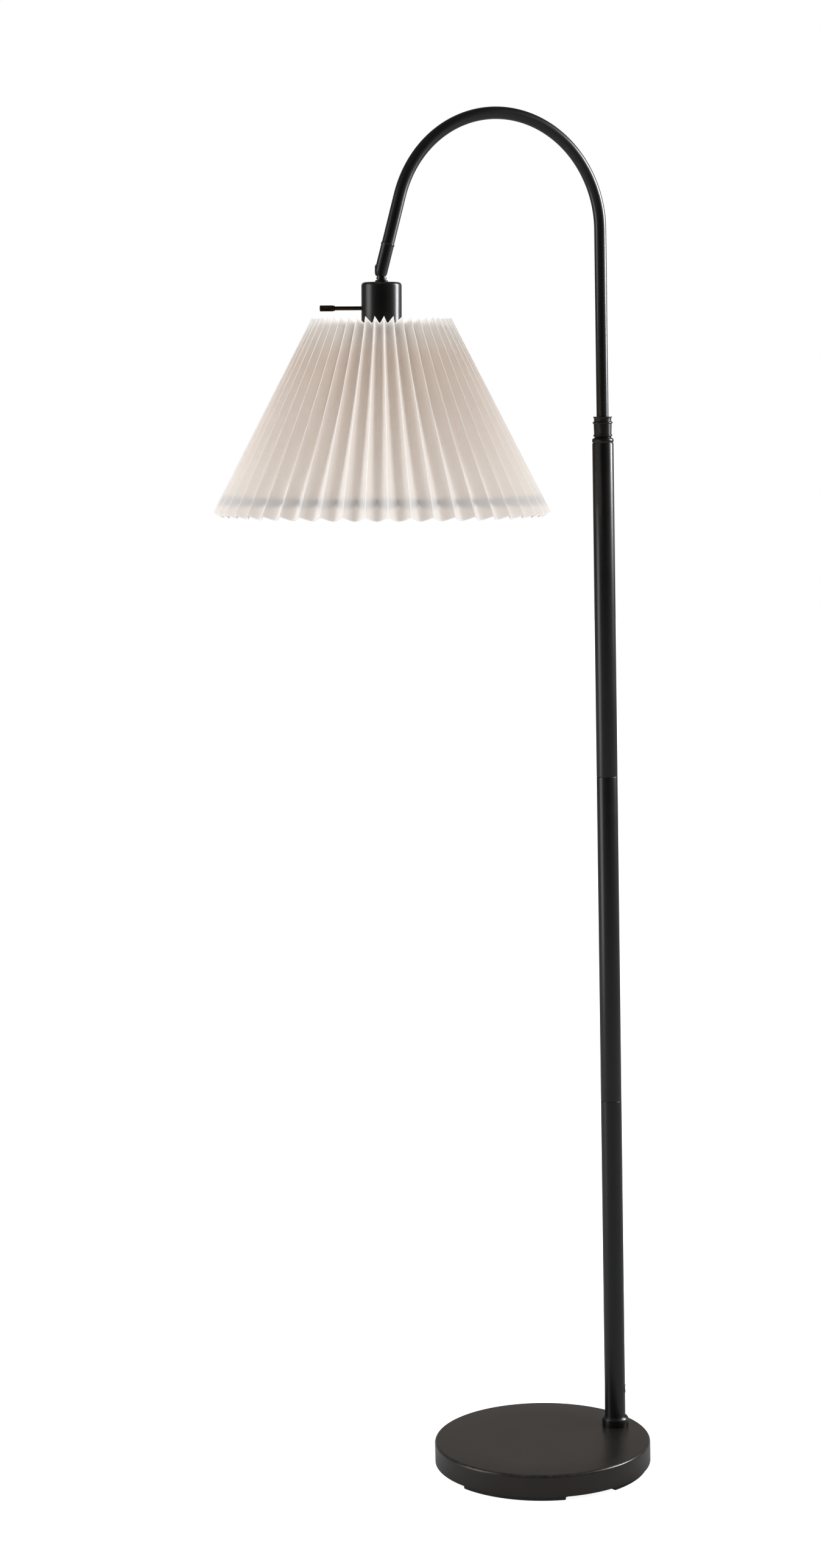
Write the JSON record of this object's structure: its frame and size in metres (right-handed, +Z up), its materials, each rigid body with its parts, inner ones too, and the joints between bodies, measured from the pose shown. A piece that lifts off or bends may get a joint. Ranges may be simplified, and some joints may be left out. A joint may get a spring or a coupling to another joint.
{
  "type": "arc floor lamp",
  "caption": "Floor lamp: round weighted base, off-centre pole, arched arm that swivels, and a tilting head with a pleated cone shade and a rotary switch.",
  "frame": {"origin": "middle of the round base, on the floor", "axes": "+Z up, +X from the middle of the base towards the pole, so the arm arches back over the base towards -X"},
  "size_m": [0.5152, 0.3896, 1.6346],
  "materials": {
    "base_black": "satin black powder coat",
    "cast_weight": "rough casting",
    "floor_plate": "plain black paint",
    "pads": "matt rubber",
    "zinc_hardware": "zinc plated",
    "pole_black": "satin black powder coat",
    "black_plastic": "moulded black",
    "lead_sheath": "black sheath",
    "nylon": "natural nylon",
    "dark_screw": "black oxide",
    "fibre": "red fibre",
    "holder_plastic": "moulded phenolic",
    "contact_brass": "drawn brass",
    "knob_bronze": "black bronze",
    "shade_linen": "pleated linen-look fabric on a stiff liner",
    "frame_white": "white enamel",
    "ring_tape": "woven tape",
    "ring_nut_plastic": "moulded black",
    "bulb_metal": "bright nickelled",
    "bulb_insulator": "dark vitrite",
    "bulb_plastic": "white moulded",
    "bulb_diffuser": "opal diffuser"
  },
  "bodies": {
    "stand": {"base_cover": "base_black", "base_weight": "cast_weight", "base_floor_plate": "floor_plate", "foot_pads": "pads", "centre_pad": "pads", "base_washer": "zinc_hardware", "base_nut": "zinc_hardware", "base_stud": "zinc_hardware", "foot_collar": "pole_black", "pole_lower": "pole_black", "pole_middle": "pole_black", "pole_upper": "pole_black", "pole_inserts": "zinc_hardware", "pole_joint_studs": "zinc_hardware", "cord_grommet": "black_plastic", "pole_lead": "lead_sheath", "neck_collar": "pole_black", "swivel_sleeve": "nylon"},
    "arm": {"arc_tube": "pole_black", "arm_stop_ring": "zinc_hardware", "arm_lead": "lead_sheath", "arm_knuckle": "pole_black", "pivot_screw": "dark_screw", "spring_washer": "dark_screw"},
    "head": {"head_knuckle": "pole_black", "friction_washer": "fibre", "lock_ring": "pole_black", "socket_cap": "pole_black", "cap_washer": "zinc_hardware", "cap_nut": "zinc_hardware", "holder_body": "holder_plastic", "holder_sleeve": "holder_plastic", "holder_screws": "zinc_hardware", "screw_shell": "contact_brass", "centre_contact": "contact_brass", "switch_leaf": "contact_brass", "shade_fabric": "shade_linen", "shade_frame": "frame_white", "shade_bottom_ring": "frame_white", "shade_top_tape": "ring_tape", "shade_bottom_tape": "ring_tape", "shade_ring_nut": "ring_nut_plastic", "bulb_screw_cap": "bulb_metal", "bulb_insulator": "bulb_insulator", "bulb_tip": "bulb_metal", "bulb_collar": "bulb_plastic", "bulb_globe": "bulb_diffuser"},
    "switch": {"switch_rod": "knob_bronze", "switch_knob": "knob_bronze", "switch_cam": "black_plastic"}
  },
  "joints": [
    {"name": "arm_swivel", "type": "hinge", "parent": "stand", "child": "arm", "pos_m": [0.102, 0, 1.2443], "axis": [0, 0, 1], "range_deg": [-168, 168]},
    {"name": "head_tilt", "type": "hinge", "parent": "arm", "child": "head", "pos_m": [-0.18263, 0, 1.44847], "axis": [0, 1, 0], "range_deg": [-14, 82]},
    {"name": "switch_turn", "type": "hinge", "parent": "head", "child": "switch", "pos_m": [-0.18354, 0, 1.40528], "axis": [-0.8658, 0.5, 0.0181], "continuous": true}
  ]
}
